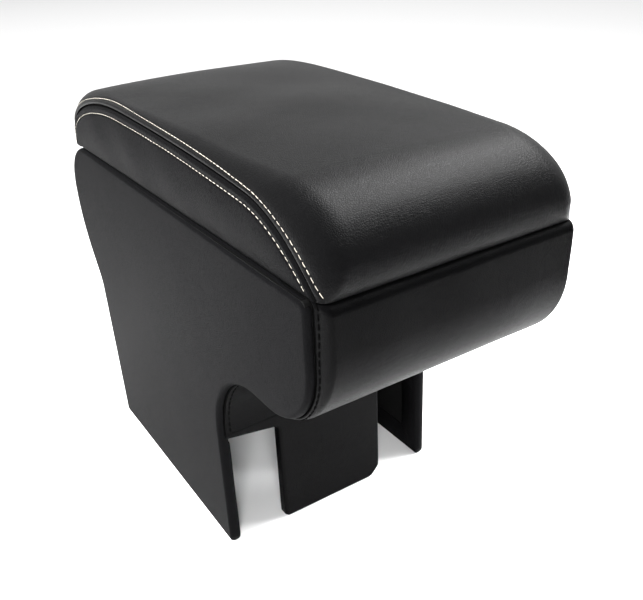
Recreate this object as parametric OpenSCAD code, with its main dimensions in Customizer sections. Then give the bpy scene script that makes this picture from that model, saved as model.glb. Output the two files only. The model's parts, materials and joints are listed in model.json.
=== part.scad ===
// Car centre armrest: a padded storage box on two side legs and a central tongue.
// Millimetres, +Z up, front (nose) towards -Y, feet on Z = 0.
// The origin is midway along the length and width, on the surface that the feet stand on.

/* [Body] */
// Width over the leather of both side panels
body_w = 160; // [150:1:180]
// Height of the rim above the feet
rim_h = 222; // [216:1:236]
// Length of each foot, front to back
foot_l = 187; // [175:1:205]
// How far the side panels reach forward of the feet
nose_reach = 109.5; // [100:0.5:118]
// Height of the nose underside above the feet
nose_under_h = 144; // [136:1:150]
// Radius of the nose's lower corner
nose_r = 42; // [36:1:46]
// Radius of the cove between nose and legs
cove_r = 55; // [40:1:57]
// How far the padded front bulges ahead of the side panels
nose_bulge = 10.5; // [6:0.5:13]
// Radius of the rim's front edge over the padding
nose_top_r = 6; // [3:0.5:7]

/* [Back] */
// How far the lower back leans out over its height
back_lean = 6; // [2:1:10]
// Height where the back starts to swell
kink_h = 116; // [100:1:122]
// Height where the swelling meets the upright upper back
swell_h = 158; // [150:1:164]
// How far the back swells out
swell = 23; // [16:1:28]
// Radius of the swelling's upper bend
swell_r = 90; // [50:5:100]
// Radius of the roll at the top of the back
back_roll_r = 37; // [32:1:40]

/* [Tongue and slots] */
// Width of the tongue over its leather
tongue_w = 78; // [70:1:92]
// Height of the slots beside the tongue
slot_h = 75; // [60:1:80]
// How much higher the slots are at the legs
slot_slant = 6; // [0:0.5:8]
// Chamfer on the tongue's lower corners
tongue_chamfer = 7; // [3:0.5:12]

/* [Sheet materials] */
// Thickness of the leather
leather_t = 1.2; // [0.9:0.1:1.5]
// Thickness of the side boards
side_board_t = 5; // [4:0.5:7]
// Thickness of the tongue board
tongue_board_t = 6; // [4:0.5:9]
// Thickness of the bent nose and back boards
bent_board_t = 4; // [3:0.5:5]
// Thickness of the floor board
floor_board_t = 6; // [4:0.5:8]
// Thickness of the felt linings
felt_t = 2; // [1.5:0.5:3]
// Width of leather folded to the hidden side of a board
fold_w = 18; // [14:1:20]
// Width of leather that turns round a corner up to its seam
seam_in = 4; // [3:0.5:4.5]

/* [Rails and battens] */
// Height of the front and rear rails
rail_h = 16; // [14:1:17]
// Depth of the front rail
front_rail_d = 18; // [16:1:24]
// Depth of the rear rail
rear_rail_d = 24; // [24:1:30]
// Width and height of the floor battens
batten = 12; // [8:1:16]

/* [Lid] */
// Gap between the rim and the lid
lid_gap = 1.5; // [1.2:0.1:1.8]
// Height of the lid over its crown
lid_h = 44; // [38:1:52]
// How much lower the side seams run than the crown
seam_drop = 5; // [3:0.5:8]
// How far the lid's sides stand in from the body at the front
lid_in_front = 3.5; // [2:0.5:6]
// How far the lid's sides stand in from the body at the back
lid_in_back = 1; // [0.5:0.5:3]
// How far the lid's seams stand in from its lower edge
seam_lean = 1; // [0.5:0.5:2]
// Bow of the lid's top across its width
lid_bow = 2; // [0:0.5:4]
// Thickness of the lid board
lid_board_t = 6; // [5:0.5:9]
// Radius of the lid board's corners
lid_board_r = 14; // [12:1:20]
// Width of the leather turned under the lid board
lid_fold_w = 12; // [8:1:14]

/* [Hinges] */
// Distance of each hinge's middle from the side of the body
hinge_side = 35; // [30:1:50]
// Width of a hinge
hinge_w = 40; // [30:1:50]
// Depth of a hinge leaf, from the pin to its edge
leaf_d = 24; // [22:0.5:25]
// Thickness of a hinge leaf
leaf_t = 1.5; // [1:0.1:1.7]
// Radius of a hinge pin
pin_r = 1.2; // [1:0.1:1.4]
// Wall of a hinge knuckle
knuckle_wall = 1.25; // [1.1:0.05:1.3]
// Knuckles of a hinge, counting both leaves
knuckles = 5; // [3:2:7]
// Distance from the lid's rear lower edge back to the pin
pin_back = 5; // [4.5:0.1:5.5]
// Running clearance round pins and screws
running = 0.05; // [0.03:0.01:0.08]
// Clearance between knuckles, and between sewn or fitted pieces
fit = 0.1; // [0.05:0.05:0.2]

/* [Fasteners, catch and bumpers] */
// Distance of a hinge's screws from the edges of its leaf
leaf_screw_in = 7; // [5:0.5:9]
// Core radius of the hinge screws
hinge_screw_r = 1; // [0.8:0.1:1.2]
// Length of the fixed leaf's screws
hinge_screw_l = 13; // [9:1:15]
// Core radius of the board screws
board_screw_r = 1.5; // [1.2:0.1:1.8]
// Length of the board screws
board_screw_l = 28; // [22:1:34]
// Distance of the floor board's rear screws from the heel
heel_screw_d = 30; // [20:1:60]
// Distance of the floor board's front screws from the front wall
wall_screw_d = 60; // [40:1:80]
// Diameter of the catch magnet
magnet_d = 12; // [8:0.5:14]
// Height of the catch magnet
magnet_h = 9; // [6:0.5:12]
// Diameter of the strike plate
strike_d = 18; // [14:0.5:20]
// Diameter of a bumper
bumper_d = 8; // [6:0.5:9]

/* [Hidden] */
$fn = 48;

leather = "#1d1d1f";
leather_soft = "#252527";
board = "#b58a5a";
felt = "#3a3a3d";
foam = "#d9cf9a";
steel = "#a9adb2";
rubber = "#101010";

// Places along the length: nose, seam, feet, back
overall_l = nose_bulge + nose_reach + foot_l + back_lean + swell;
front_y = -overall_l / 2;
seam_y = front_y + nose_bulge;
leg_y = seam_y + nose_reach;
heel_y = leg_y + foot_l;
kink_y = heel_y + back_lean;
back_y = kink_y + swell;

// Places across the width
half_w = body_w / 2;
board_x1 = half_w - leather_t;
board_x0 = board_x1 - side_board_t;
fold_x0 = board_x0 - leather_t;
sewn_x = half_w - seam_in;
cross_x = board_x0 - fit;

// Heights of the rim, rails and floor
board_top = rim_h - leather_t;
rail_z0 = board_top - rail_h;
fold_z0 = rim_h - fold_w;
floor_z0 = nose_under_h + leather_t + bent_board_t + fit;
floor_z1 = floor_z0 + floor_board_t;
felt_z1 = floor_z1 + felt_t;

// Points along each rounded corner, and the nose strip's rows that its pad lies under
arc_steps = 9;
pad_row0 = arc_steps + 5;
pad_row1 = 3 * arc_steps + 3;

// Corners of the side panel's outline as [y, z, radius], clockwise from the front of the foot.
// The cove ends above the slots.
edge_r = 2;
rim_r = 3;
kink_r = 12;
strip_end_z = slot_h + slot_slant + 4;
cove = min(cove_r, nose_under_h - strip_end_z - 1);
side_corners = fitted([[leg_y, 0, edge_r], [leg_y, nose_under_h, cove], [seam_y, nose_under_h, nose_r],
    [seam_y, rim_h, rim_r], [back_y, rim_h, back_roll_r], [back_y, swell_h, swell_r],
    [kink_y, kink_h, kink_r], [heel_y, 0, edge_r]]);
lower_nose = side_corners[2];
back_roll = side_corners[4];

// Places of the boards and rails along the length
tongue_back_y = leg_y + leather_t + tongue_board_t;
front_rail_y0 = seam_y + leather_t + bent_board_t;
front_rail_y1 = front_rail_y0 + front_rail_d;
roll_y = back_y - back_roll.z;
rear_rail_y1 = roll_y + 4;
rear_rail_y0 = rear_rail_y1 - rear_rail_d;

// Corners of the nose strip at its seams, from the front wall up to the rim,
// and the same strip at its padded crown
nose_seam_line = [[leg_y, strip_end_z, 0], side_corners[1], lower_nose,
    side_corners[3], [front_rail_y1 + leather_t, rim_h, 0]];
under_bulge = 0.6;
crown_line_r = min(lower_nose.z + nose_bulge + 0.5, rim_h - nose_under_h + under_bulge - nose_top_r);
nose_crown_line = [[leg_y, strip_end_z, 0], [leg_y, nose_under_h - under_bulge, cove],
    [front_y, nose_under_h - under_bulge, crown_line_r], [front_y, rim_h, nose_top_r],
    [front_rail_y1 + leather_t, rim_h, 0]];

// Corners of the back strip, from the rear rail over the roll and down to the heel
back_line = [[rear_rail_y0 - leather_t, rim_h, 0], back_roll, side_corners[5], side_corners[6],
    [heel_y, 0, 0]];

// Lid: ends of its lower edge, and heights
lid_z0 = rim_h + lid_gap;
lid_z1 = lid_z0 + lid_h;
lid_board_z0 = lid_z0 + leather_t;
lid_board_z1 = lid_board_z0 + lid_board_t;
lid_y0 = seam_y - 4;
lid_y1 = roll_y + 8;
lid_half_front = half_w - lid_in_front;
lid_half_back = half_w - lid_in_back;

// Lid's crest above its front, the start of its rear slope and the shoulder over its rear end
crest_y = lid_y0 + 39.5;
slope_y = lid_y1 - 81;
shoulder_y = lid_y1 - 5;

// Lid's crown line as four curves, each [start, handle, handle, end], from the front edge to the back
crown_curves = [
    [[lid_y0, lid_z0], [lid_y0 - 9.5, lid_z0 + 12.5], [lid_y0 - 0.5, lid_z1 - 7], [crest_y, lid_z1 - 3.7]],
    [[crest_y, lid_z1 - 3.7], [crest_y + 60, lid_z1 - 0.7], [slope_y - 60, lid_z1], [slope_y, lid_z1]],
    [[slope_y, lid_z1], [slope_y + 30, lid_z1], [shoulder_y - 16, lid_z1 - 1], [shoulder_y, lid_z1 - 9.5]],
    [[shoulder_y, lid_z1 - 9.5], [shoulder_y + 15, lid_z1 - 18], [lid_y1 + 11, lid_z0 + 8.5], [lid_y1, lid_z0]]];

// Lid's seam line, with four such stretches: it passes its own crest and shoulder
seam_z1 = lid_z1 - seam_drop;
seam_crest_y = lid_y0 + 57.5;
seam_end_y = lid_y1 - 16;
seam_curves = [
    [[lid_y0 + 1.5, lid_z0], [lid_y0 + 13.5, lid_z0 + 12.5], [seam_crest_y - 24, seam_z1 - 11.2],
        [seam_crest_y, seam_z1 - 8.2]],
    [[seam_crest_y, seam_z1 - 8.2], [seam_crest_y + 42, seam_z1 - 3.9], [slope_y - 50, seam_z1],
        [slope_y, seam_z1 - 0.2]],
    [[slope_y, seam_z1 - 0.2], [slope_y + 25, seam_z1 - 0.3], [seam_end_y - 17, seam_z1 - 4.5],
        [seam_end_y, seam_z1 - 11]],
    [[seam_end_y, seam_z1 - 11], [seam_end_y + 21, seam_z1 - 19], [lid_y1 + 10, lid_z0 + 8.5],
        [lid_y1 - 2, lid_z0]]];
curve_steps = [8, 4, 4, 8];

// Hinge: the pin lies behind the lid's rear lower edge, midway between the boards
hinge_spread = body_w - 2 * hinge_side;
pin_y = lid_y1 + pin_back;
pin_z = (board_top + lid_board_z0) / 2;
knuckle_r = pin_r + knuckle_wall;
knuckle_l = hinge_w / knuckles;
leaf_y0 = pin_y - leaf_d;
screw_y = leaf_y0 + leaf_screw_in;
screw_dx = hinge_w / 2 - leaf_screw_in;
head_r = hinge_screw_r * 2.4;
lining_y1 = leaf_y0 - 2;

// Catch and bumpers stand on the front rail
catch_y = (front_rail_y0 + front_rail_y1) / 2;
catch_air = 0.4;
magnet_z1 = lid_z0 - catch_air;
strike_t = leather_t;
lid_screw_l = lid_board_t;
bumper_air = 0.3;
bumper_x = cross_x - bumper_d / 2 - fit;

// Board screws as [y, z] on each side: into the front wall, the rails and the floor board
board_screw_head_r = board_screw_r * 2;
front_wall_y = leg_y + leather_t + tongue_board_t / 2;
board_screw_spots = [[front_wall_y, slot_h + slot_slant + 18], [front_wall_y, nose_under_h - 10],
    [catch_y, board_top - rail_h / 2], [(rear_rail_y0 + rear_rail_y1) / 2, board_top - rail_h / 2],
    [heel_y - heel_screw_d, floor_z0 + floor_board_t / 2], [leg_y + wall_screw_d, floor_z0 + floor_board_t / 2]];

// Flat geometry

function unit(v) = v / norm(v);
function right_of(v) = [v.y, -v.x];
function flat(p) = [p.x, p.y];

// Moves a line of points to the right of its travel by d, with mitred corners
function shifted(p, d, closed = false) = [for (i = [0 : len(p) - 1])
    let (n = len(p),
        before = closed || i > 0 ? unit(flat(p[i]) - flat(p[(i + n - 1) % n])) : unit(flat(p[1]) - flat(p[0])),
        after = closed || i < n - 1 ? unit(flat(p[(i + 1) % n]) - flat(p[i])) : before,
        turn = before.x * after.y - before.y * after.x,
        spot = flat(p[i]) + (right_of(before) + right_of(after)) * d / (1 + before * after))
    len(p[i]) > 2 ? [spot.x, spot.y, p[i].z > 0 ? max(0, p[i].z + sign(turn) * d) : 0] : spot];

// Length that a rounded corner takes of each edge beside it
function taken(a, c, b) = let (into = unit(flat(c) - flat(a)), out = unit(flat(b) - flat(c)))
    c.z * tan(acos(max(-1, min(1, into * out))) / 2);

// A closed line's corners with each radius limited to what its two edges leave for it
function fitted(c) = let (n = len(c),
        need = [for (i = [0 : n - 1]) taken(c[(i + n - 1) % n], c[i], c[(i + 1) % n])],
        room = [for (i = [0 : n - 1]) let (j = (i + 1) % n)
            min(1, (norm(flat(c[j]) - flat(c[i])) - 0.5) / (need[i] + need[j]))])
    [for (i = [0 : n - 1]) [c[i].x, c[i].y, c[i].z * min(room[i], room[(i + n - 1) % n])]];

// Rounds one corner between the points a and b
function corner_arc(a, c, b, steps) =
    let (into = unit(flat(c) - flat(a)), out = unit(flat(b) - flat(c)),
        turn = into.x * out.y - into.y * out.x,
        bend = acos(max(-1, min(1, into * out))),
        start = flat(c) - into * c.z * tan(bend / 2),
        side = sign(turn))
    c.z <= 0 || bend < 0.01 ? [flat(c)] : [for (k = [0 : steps]) let (t = bend * k / steps)
        start + c.z * sin(t) * into - side * right_of(into) * c.z * (1 - cos(t))];

// Rounds the corners of an open line
function rounded_line(c, steps) = [for (i = [0 : len(c) - 1])
    each i == 0 || i == len(c) - 1 ? [flat(c[i])] : corner_arc(c[i - 1], c[i], c[i + 1], steps)];

// Rounds the corners of a closed outline
function rounded_outline(c, steps) = [for (i = [0 : len(c) - 1])
    each corner_arc(c[(i + len(c) - 1) % len(c)], c[i], c[(i + 1) % len(c)], steps)];

// Side panel's outline, moved inwards by d
function side_outline(d) = rounded_outline(shifted(side_corners, d, true), arc_steps);

function reversed(list) = [for (i = [len(list) - 1 : -1 : 0]) list[i]];

// Outline of a sheet that follows an open line, between two depths below it
function band(line, d0, d1) = concat(rounded_line(shifted(line, d0), arc_steps),
    reversed(rounded_line(shifted(line, d1), arc_steps)));

function bezier(c, t) = c[0] * pow(1 - t, 3) + 3 * c[1] * t * pow(1 - t, 2)
    + 3 * c[2] * t * t * (1 - t) + c[3] * pow(t, 3);

// Points along a chain of curves
function curve_line(curves) = concat([for (i = [0 : len(curves) - 1]) for (k = [0 : curve_steps[i] - 1])
    bezier(curves[i], k / curve_steps[i])], [curves[len(curves) - 1][3]]);

// Outline of the front wall and its tongue as [x, z, radius], w to each side and up to top
function tongue_corners(w, top) = let (t = tongue_w / 2,
        slot_end = slot_h + slot_slant * (w - t) / (sewn_x - t)) [[-w, top, 0], [w, top, 0],
    [w, slot_end, 0], [t, slot_h, 3], [t, tongue_chamfer, edge_r], [t - tongue_chamfer, 0, edge_r],
    [tongue_chamfer - t, 0, edge_r], [-t, tongue_chamfer, edge_r], [-t, slot_h, 3],
    [-w, slot_end, 0]];

// Padded strips. Each row runs across the part from one seam to the other: it leaves the seam along
// a quarter of an ellipse, roll_w wide, and then follows the crown, less a bow that grows with the
// square of the distance from the middle.
roll_angles = [0, 30, 60, 90];
middle_shares = [0.5, 0, -0.5];

function strip_row(seam, crown, half, roll_w, bow) =
    let (edge = [for (a = roll_angles) [half - roll_w * (1 - cos(a)), sin(a)]],
        middle = [for (s = middle_shares) [(half - roll_w) * s, 1]],
        across = concat(edge, middle, [for (e = reversed(edge)) [-e.x, e.y]]))
    [for (c = across) let (top = crown - [0, bow * pow(c.x / half, 2)], p = seam + (top - seam) * c.y) [c.x, p.x, p.y]];

// Rows of the nose strip, d below its leather's outer face
function nose_rows(d) =
    let (seam = rounded_line(shifted(nose_seam_line, d), arc_steps),
        crown = rounded_line(shifted(nose_crown_line, d), arc_steps))
    [for (i = [0 : len(seam) - 1]) strip_row(seam[i], crown[i], sewn_x - fit - d,
        3 + 0.35 * norm(crown[i] - seam[i]), 0)];

function lid_half(y) = lid_half_front + (lid_half_back - lid_half_front) * (y - lid_y0) / (lid_y1 - lid_y0);

// Rows of the lid's top, d below its leather's outer face
function lid_rows(d) =
    let (seam = shifted(curve_line(seam_curves), d), crown = shifted(curve_line(crown_curves), d))
    [for (i = [0 : len(seam) - 1]) strip_row(seam[i], crown[i], lid_half(seam[i].x) - seam_lean - d,
        4 + 0.9 * norm(crown[i] - seam[i]), lid_bow * (crown[i].y - lid_z0) / lid_h)];

// Solids from rows of points

// Faces between neighbouring rows of n points, starting at point number first
function sheet_faces(rows, n, first, inside = false) = [for (i = [0 : rows - 2]) for (j = [0 : n - 2])
    let (a = first + i * n + j, b = a + 1, c = a + n, d = c + 1)
    each inside ? [[a, d, b], [a, c, d]] : [[a, b, d], [a, d, c]]];

// A sheet between an outer and an inner grid of the same size
module shell(outer, inner) {
    m = len(outer);
    n = len(outer[0]);
    low = m * n;
    points = concat([for (row = outer) each row], [for (row = inner) each row]);
    ends = [for (j = [0 : n - 2]) for (row = [0, m - 1]) let (a = row * n + j)
        each row == 0 ? [[a, low + a + 1, a + 1], [a, low + a, low + a + 1]]
            : [[a, a + 1, low + a + 1], [a, low + a + 1, low + a]]];
    sides = [for (i = [0 : m - 2]) for (j = [0, n - 1]) let (a = i * n + j)
        each j == 0 ? [[a, a + n, low + a + n], [a, low + a + n, low + a]]
            : [[a, low + a + n, a + n], [a, low + a, low + a + n]]];
    polyhedron(points, concat(sheet_faces(m, n, 0), sheet_faces(m, n, low, true), ends, sides));
}

// A closed loft through rings of the same number of points
module loft(rings) {
    m = len(rings);
    n = len(rings[0]);
    walls = [for (i = [0 : m - 2]) for (j = [0 : n - 1])
        let (a = i * n + j, b = i * n + (j + 1) % n, c = a + n, d = b + n)
        each [[a, b, d], [a, d, c]]];
    caps = [for (j = [1 : n - 2]) each [[0, j + 1, j], [(m - 1) * n, (m - 1) * n + j, (m - 1) * n + j + 1]]];
    polyhedron([for (ring = rings) each ring], concat(walls, caps));
}

// A flat sheet with its outline in Y and Z, from x0 to x1
module side_sheet(x0, x1) {
    translate([x0, 0, 0]) rotate([90, 0, 90]) linear_extrude(x1 - x0) children();
}

// A flat sheet with its outline in X and Z, from y0 to y1
module wall_sheet(y0, y1) {
    translate([0, y1, 0]) rotate([90, 0, 0]) linear_extrude(y1 - y0) children();
}

// A box from its lowest to its highest corner
module box(low, high) {
    translate(low) cube(high - low);
}

// A box across the part
module cross_box(half, y0, y1, z0, z1) {
    box([-half, y0, z0], [half, y1, z1]);
}

module mirrored() {
    children();
    mirror([1, 0, 0]) children();
}

// Countersunk screw with its head's flat at the origin, pointing along -Z
module screw(r, head, length) {
    translate([0, 0, -length]) cylinder(r = r, h = length);
    translate([0, 0, -(head - r)]) cylinder(r1 = r, r2 = head, h = head - r);
}

// Hole for the same screw, open above the head
module screw_hole(r, head, length) {
    screw(r + running, head + running, length + running);
    cylinder(r = head + running, h = 1);
}

// Places the board screws of the right side, heads outwards
module at_board_screws() {
    for (s = board_screw_spots) translate([board_x1, s.x, s.y]) rotate([0, 90, 0]) children();
}

module board_screw_holes() {
    mirrored() at_board_screws() screw_hole(board_screw_r, board_screw_head_r, board_screw_l);
}

// Boards

module side_board() {
    color(board) difference() {
        side_sheet(board_x0, board_x1) polygon(side_outline(leather_t));
        at_board_screws() screw_hole(board_screw_r, board_screw_head_r, board_screw_l);
    }
}

module left_side_board() { mirror([1, 0, 0]) side_board(); }

module right_side_board() { side_board(); }

// Face of the front wall and tongue, d inside its leather
module tongue_face(w, top, d) {
    polygon(rounded_outline(shifted(tongue_corners(w + d, top + d), d, true), 4));
}

module tongue_board() {
    color(board) difference() {
        wall_sheet(leg_y + leather_t, tongue_back_y) tongue_face(cross_x, floor_z0 - fit, leather_t);
        board_screw_holes();
    }
}

module nose_panel() {
    line = [for (i = [0 : 3]) i == 3 ? [seam_y, rim_h, 0] : nose_seam_line[i]];
    color(board) intersection() {
        side_sheet(-cross_x, cross_x) polygon(band(line, leather_t + fit, leather_t + bent_board_t));
        cross_box(half_w, front_y, leg_y + leather_t - fit, strip_end_z, board_top - 2);
    }
}

module back_board() {
    color(board) intersection() {
        side_sheet(-cross_x, cross_x) polygon(band(back_line, leather_t + fit, leather_t + bent_board_t));
        union() {
            cross_box(half_w, heel_y - 2 * bent_board_t, back_y, leather_t + fit, rail_z0 - fit);
            cross_box(half_w, rear_rail_y1 + fit, back_y, rail_z0 - fit, rim_h);
        }
    }
}

module floor_board() {
    color(board) difference() {
        side_sheet(-cross_x, cross_x) intersection() {
            polygon(side_outline(leather_t + bent_board_t + fit));
            translate([front_y, floor_z0]) square([overall_l, floor_board_t]);
        }
        board_screw_holes();
    }
}

module batten_strip() {
    color(board) box([cross_x - batten, tongue_back_y + leather_t + fit, floor_z0 - fit - batten],
        [cross_x, heel_y - bent_board_t - 2 * leather_t, floor_z0 - fit]);
}

module left_batten() { mirror([1, 0, 0]) batten_strip(); }

module right_batten() { batten_strip(); }

module front_rail() {
    color(board) difference() {
        cross_box(cross_x, front_rail_y0 + fit, front_rail_y1, rail_z0, board_top);
        board_screw_holes();
        translate([0, catch_y, magnet_z1 - magnet_h - running])
            cylinder(r = magnet_d / 2 + running, h = magnet_h + rail_h);
    }
}

module rear_rail() {
    color(board) difference() {
        intersection() {
            cross_box(cross_x, rear_rail_y0, rear_rail_y1, rail_z0, board_top);
            side_sheet(-half_w, half_w) polygon(side_outline(leather_t + fit));
        }
        board_screw_holes();
        at_hinges() at_fixed_screws() screw_hole(hinge_screw_r, head_r, hinge_screw_l);
    }
}

module board_screws() {
    color(steel) mirrored() at_board_screws() screw(board_screw_r, board_screw_head_r, board_screw_l);
}

// Leather of the box

// Room of the side panel's edges that the side cover wraps all the way round
module wrapped_edges() {
    box([0, leg_y - 1, -1], [half_w, leg_y + fold_w, slot_h + slot_slant - fit]);
    box([0, leg_y - 1, -1], [half_w, heel_y - bent_board_t - 2 * leather_t - fit, fold_w]);
    box([0, front_rail_y1 + leather_t + fit, fold_z0], [half_w, rear_rail_y0 - leather_t - fit, rim_h + 1]);
}

module side_cover() {
    color(leather) union() {
        side_sheet(board_x1, half_w) polygon(side_outline(0));
        side_sheet(sewn_x, board_x1) difference() {
            polygon(side_outline(0));
            polygon(side_outline(leather_t));
        }
        intersection() {
            union() {
                side_sheet(fold_x0, sewn_x) difference() {
                    polygon(side_outline(0));
                    polygon(side_outline(leather_t));
                }
                side_sheet(fold_x0, board_x0) difference() {
                    polygon(side_outline(0));
                    polygon(side_outline(fold_w));
                }
            }
            wrapped_edges();
        }
    }
}

module left_side_cover() { mirror([1, 0, 0]) side_cover(); }

module right_side_cover() { side_cover(); }

module nose_pad() {
    outer = nose_rows(leather_t + fit);
    inner = [for (p = rounded_line(shifted(nose_seam_line, leather_t + fit / 2), arc_steps))
        [for (c = outer[0]) p]];
    rows = [for (i = [pad_row0 : pad_row1]) i];
    cols = [for (j = [1 : len(outer[0]) - 2]) j];
    color(foam) shell([for (i = rows) [for (j = cols) outer[i][j]]],
        [for (i = rows) [for (j = cols) [outer[i][j].x, inner[i][j].x, inner[i][j].y]]]);
}

module nose_cover() {
    color(leather_soft) difference() {
        union() {
            shell(nose_rows(0), nose_rows(leather_t));
            cross_box(cross_x - fit, front_rail_y1, front_rail_y1 + leather_t, fold_z0, board_top);
        }
        translate([0, catch_y, rail_z0]) cylinder(r = magnet_d / 2 + fit, h = rail_h + 2 * leather_t);
    }
}

module tongue_cover() {
    half = fold_x0 - fit;
    top = strip_end_z - fit;
    color(leather_soft) difference() {
        wall_sheet(leg_y, tongue_back_y + leather_t) tongue_face(sewn_x - fit, top, 0);
        mirrored() box([half, leg_y + leather_t, 0], [half_w, 0, rim_h]);
        wall_sheet(leg_y + leather_t, tongue_back_y) tongue_face(half_w, rim_h, leather_t);
        cross_box(tongue_w / 2 - fold_w, tongue_back_y - 1, 0, fold_w, rim_h);
    }
}

module back_cover() {
    color(leather) difference() {
        union() {
            side_sheet(fit - sewn_x, sewn_x - fit) polygon(band(back_line, 0, leather_t));
            cross_box(cross_x - fit, rear_rail_y0 - leather_t, rear_rail_y0, fold_z0, rim_h);
            cross_box(sewn_x - fit, heel_y - bent_board_t - 2 * leather_t, heel_y, 0, leather_t);
            intersection() {
                side_sheet(fit - cross_x, cross_x - fit)
                    polygon(band(back_line, leather_t + bent_board_t, 2 * leather_t + bent_board_t));
                cross_box(half_w, heel_y - 3 * bent_board_t, back_y, 0, fold_w);
            }
        }
        at_hinges() box([-hinge_w / 2 - 2 * fit, leaf_y0 - fit, board_top - fit],
            [hinge_w / 2 + 2 * fit, pin_y + knuckle_r, rim_h + 1]);
    }
}

// Felt linings of the compartment

module floor_lining() {
    color(felt) side_sheet(-cross_x, cross_x) intersection() {
        polygon(side_outline(leather_t + bent_board_t + fit));
        translate([front_y, floor_z1]) square([overall_l, felt_t]);
    }
}

module side_lining() {
    color(felt) side_sheet(cross_x - felt_t, cross_x) intersection() {
        polygon(side_outline(leather_t + bent_board_t + fit));
        translate([front_y, felt_z1]) square([overall_l, fold_z0 - felt_z1 - fit]);
    }
}

module left_lining() { mirror([1, 0, 0]) side_lining(); }

module right_lining() { side_lining(); }

// Felt that follows an open line inside the bent boards, between the side linings
module end_lining(line) {
    deep = leather_t + bent_board_t + fit;
    half = cross_x - felt_t - fit;
    color(felt) intersection() {
        side_sheet(-half, half) polygon(band(line, deep, deep + felt_t));
        cross_box(half, front_y, back_y, felt_z1, rail_z0 - fit);
    }
}

module front_lining() { end_lining([for (i = [0 : 3]) i == 3 ? [seam_y, rim_h, 0] : nose_seam_line[i]]); }

module back_lining() { end_lining(back_line); }

// Hinges

module at_hinges() {
    for (side = [-1, 1]) translate([side * hinge_spread / 2, 0, 0]) children();
}

module at_fixed_screws() {
    for (side = [-1, 1]) translate([side * screw_dx, screw_y, board_top + leaf_t]) children();
}

module at_lid_screws() {
    for (side = [-1, 1]) translate([side * screw_dx, screw_y, lid_board_z0 - leaf_t])
        mirror([0, 0, 1]) children();
}

// Knuckles with their numbers in order along the pin
module knuckle_row(numbers) {
    for (k = numbers) translate([-hinge_w / 2 + k * knuckle_l + fit / 2, pin_y, pin_z])
        rotate([0, 90, 0]) cylinder(r = knuckle_r, h = knuckle_l - fit);
}

// One leaf with its knuckles, z0 being the leaf's lower face
module leaf(z0, own, other) {
    difference() {
        union() {
            box([-hinge_w / 2, leaf_y0, z0], [hinge_w / 2, pin_y - knuckle_r - 2 * fit, z0 + leaf_t]);
            for (k = own) box([-hinge_w / 2 + k * knuckle_l + fit / 2, pin_y - knuckle_r - 1, z0],
                [-hinge_w / 2 + (k + 1) * knuckle_l - fit / 2, pin_y, z0 + leaf_t]);
            knuckle_row(own);
        }
        translate([-hinge_w / 2 - 1, pin_y, pin_z]) rotate([0, 90, 0])
            cylinder(r = pin_r + running, h = hinge_w + 2);
        for (k = other) translate([-hinge_w / 2 + k * knuckle_l, pin_y, pin_z])
            rotate([0, 90, 0]) cylinder(r = knuckle_r + fit, h = knuckle_l);
    }
}

outer_knuckles = [0 : 2 : knuckles - 1];
inner_knuckles = [1 : 2 : knuckles - 1];

module fixed_leaf() {
    color(steel) difference() {
        leaf(board_top, outer_knuckles, inner_knuckles);
        at_fixed_screws() screw_hole(hinge_screw_r, head_r, 2 * leaf_t);
    }
}

module lid_leaf() {
    color(steel) difference() {
        leaf(lid_board_z0 - leaf_t, inner_knuckles, outer_knuckles);
        at_lid_screws() screw_hole(hinge_screw_r, head_r, 2 * leaf_t);
    }
}

module hinge_pin() {
    color(steel) translate([-hinge_w / 2, pin_y, pin_z]) rotate([0, 90, 0]) cylinder(r = pin_r, h = hinge_w);
}

module left_fixed_leaf() { translate([-hinge_spread / 2, 0, 0]) fixed_leaf(); }

module right_fixed_leaf() { translate([hinge_spread / 2, 0, 0]) fixed_leaf(); }

module left_lid_leaf() { translate([-hinge_spread / 2, 0, 0]) lid_leaf(); }

module right_lid_leaf() { translate([hinge_spread / 2, 0, 0]) lid_leaf(); }

module left_hinge_pin() { translate([-hinge_spread / 2, 0, 0]) hinge_pin(); }

module right_hinge_pin() { translate([hinge_spread / 2, 0, 0]) hinge_pin(); }

module fixed_leaf_screws() {
    color(steel) at_hinges() at_fixed_screws() screw(hinge_screw_r, head_r, hinge_screw_l);
}

module lid_leaf_screws() {
    color(steel) at_hinges() at_lid_screws() screw(hinge_screw_r, head_r, lid_screw_l);
}

// Catch and bumpers

module catch_magnet() {
    color(steel) translate([0, catch_y, magnet_z1 - magnet_h]) cylinder(r = magnet_d / 2, h = magnet_h);
}

module strike_plate() {
    color(steel) difference() {
        translate([0, catch_y, lid_board_z0 - strike_t]) cylinder(r = strike_d / 2, h = strike_t);
        at_strike_screw() screw_hole(hinge_screw_r, head_r, 2 * strike_t);
    }
}

module at_strike_screw() {
    translate([0, catch_y, lid_board_z0 - strike_t]) mirror([0, 0, 1]) children();
}

module strike_screw() {
    color(steel) at_strike_screw() screw(hinge_screw_r, head_r, lid_screw_l);
}

module bumpers() {
    r = bumper_d / 2;
    tall = lid_gap - bumper_air;
    color(rubber) mirrored() translate([bumper_x, catch_y, rim_h]) rotate_extrude() intersection() {
        square([r, tall]);
        translate([0, tall - 3 * r]) circle(r = 3 * r, $fn = 96);
    }
}

// Lid

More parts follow.
